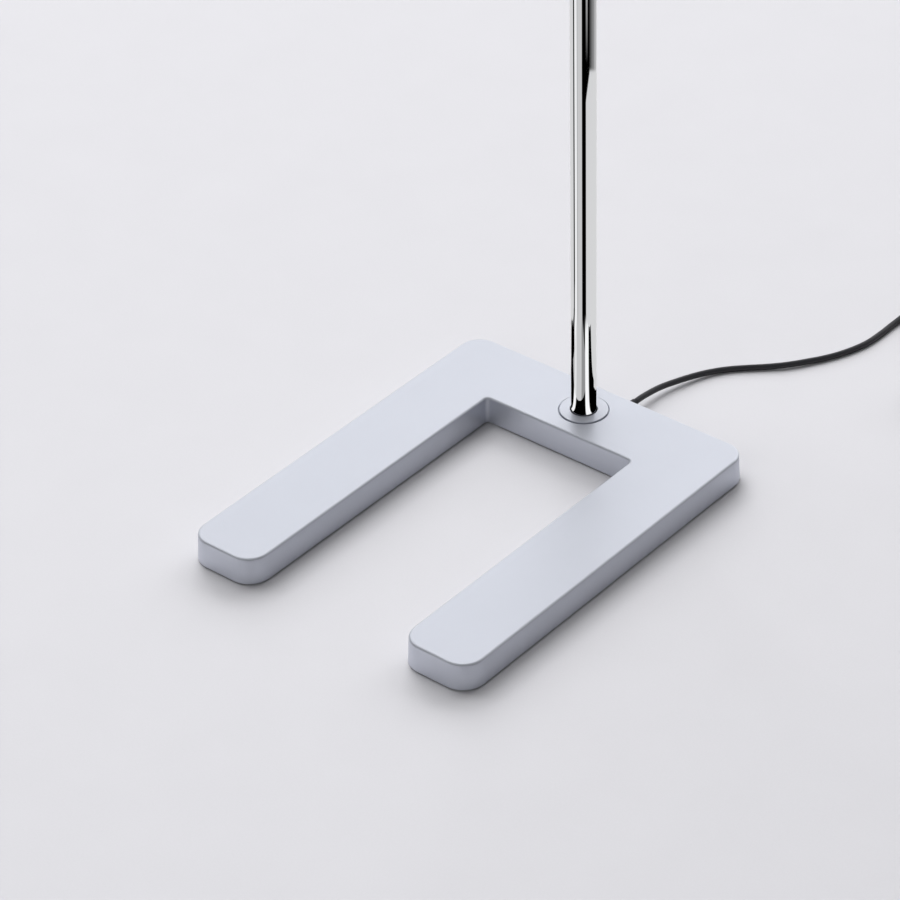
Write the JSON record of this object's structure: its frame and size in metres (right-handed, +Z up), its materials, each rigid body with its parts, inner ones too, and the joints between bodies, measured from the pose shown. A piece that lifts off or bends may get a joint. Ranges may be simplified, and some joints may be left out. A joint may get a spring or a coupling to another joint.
{
  "type": "office floor lamp",
  "caption": "Office floor lamp: U-shaped lacquered cast base that straddles a desk leg, turning chromed pole with keypad, flat tilting head with downlight and uplight, mains cord with plug.",
  "frame": {"origin": "middle of the base's plan, on the floor", "axes": "+X along the back bar, +Y from the leg tips to the back bar and the cord's exit, +Z up along the pole"},
  "size_m": [0.56, 0.8428, 1.894],
  "materials": {
    "base_lacquer": "satin silver-grey lacquer over cast iron",
    "ring_lacquer": "satin silver-grey lacquer",
    "head_lacquer": "satin silver-grey lacquer over aluminium",
    "glide_rubber": "matt",
    "cover_black": "fine black powder coat",
    "screw_steel": "zinc plated",
    "turned_steel": "turned",
    "bearing_plastic": "natural",
    "terminal_white": "matt",
    "brass": "plain",
    "core_insulation": "smooth",
    "relief_rubber": "matt",
    "cord_jacket": "satin",
    "tie_black": "woven hook-and-loop",
    "plug_black": "moulded",
    "nickel": "nickel plated",
    "chrome": "mirror chrome",
    "cable_grey": "smooth",
    "keypad_black": "fine matt",
    "key_grey": "satin",
    "green_board": "solder mask",
    "switch_black": "matt",
    "white_board": "white solder mask",
    "diode_yellow": "phosphor",
    "driver_case": "matt",
    "prismatic_panel": "fine prismatic",
    "clear_panel": "clear",
    "sensor_white": "translucent"
  },
  "bodies": {
    "base": {"base_casting": "base_lacquer", "floor_glides": "glide_rubber", "bottom_cover": "cover_black", "cover_screws": "screw_steel", "collar_ring": "ring_lacquer", "stem_bush": "bearing_plastic", "slip_ring": "bearing_plastic", "stop_pin": "turned_steel", "terminal_block": "terminal_white", "terminal_screws": "brass", "mains_cores": "core_insulation", "pole_cores": "core_insulation", "cord_clamp": "cover_black", "clamp_screws": "screw_steel", "strain_relief": "relief_rubber", "cord_run": "cord_jacket", "cord_coil": "cord_jacket", "cord_tie": "tie_black", "cord_tail": "cord_jacket", "plug_body": "plug_black", "plug_pins": "nickel", "earth_contacts": "nickel"},
    "pole": {"pole_foot": "turned_steel", "spring_washer": "turned_steel", "ring_nut": "turned_steel", "pole_tube": "chrome", "pole_cable": "cable_grey", "hinge_yoke": "chrome", "hinge_pin": "turned_steel", "hinge_caps": "chrome", "keypad_front_shell": "keypad_black", "keypad_back_shell": "keypad_black", "keypad_screws": "screw_steel", "keypad_board": "green_board", "keypad_switches": "switch_black", "keypad_lead": "cord_jacket", "friction_washers": "bearing_plastic"},
    "power": {"power_key": "key_grey"},
    "brighter": {"brighter_key": "key_grey"},
    "dimmer": {"dimmer_key": "key_grey"},
    "head": {"head_arm": "head_lacquer", "arm_screws": "screw_steel", "head_frame": "head_lacquer", "downlight_board": "white_board", "downlight_diodes": "diode_yellow", "uplight_boards": "white_board", "uplight_diodes": "diode_yellow", "driver": "driver_case", "driver_leads": "core_insulation", "head_cable": "cable_grey", "diffuser_panel": "prismatic_panel", "trim_frame": "head_lacquer", "trim_screws": "screw_steel", "sensor_lens": "sensor_white", "sensor_board": "green_board", "top_cover": "clear_panel", "top_cover_screws": "screw_steel"}
  },
  "joints": [
    {"name": "pole_turn", "type": "hinge", "parent": "base", "child": "pole", "pos_m": [0, 0.176, 0.0235], "axis": [0, 0, 1], "range_deg": [-165, 165]},
    {"name": "head_tilt", "type": "hinge", "parent": "pole", "child": "head", "pos_m": [0, 0.176, 1.88], "axis": [1, 0, 0], "range_deg": [-20, 20]},
    {"name": "power_press", "type": "slide", "parent": "pole", "child": "power", "axis": [0, 1, 0], "range_m": [0, 0.0008], "stiffness_N_per_m": 600, "springref_m": -0.0015},
    {"name": "brighter_press", "type": "slide", "parent": "pole", "child": "brighter", "axis": [0, 1, 0], "range_m": [0, 0.0008], "stiffness_N_per_m": 600, "springref_m": -0.0015},
    {"name": "dimmer_press", "type": "slide", "parent": "pole", "child": "dimmer", "axis": [0, 1, 0], "range_m": [0, 0.0008], "stiffness_N_per_m": 600, "springref_m": -0.0015}
  ]
}
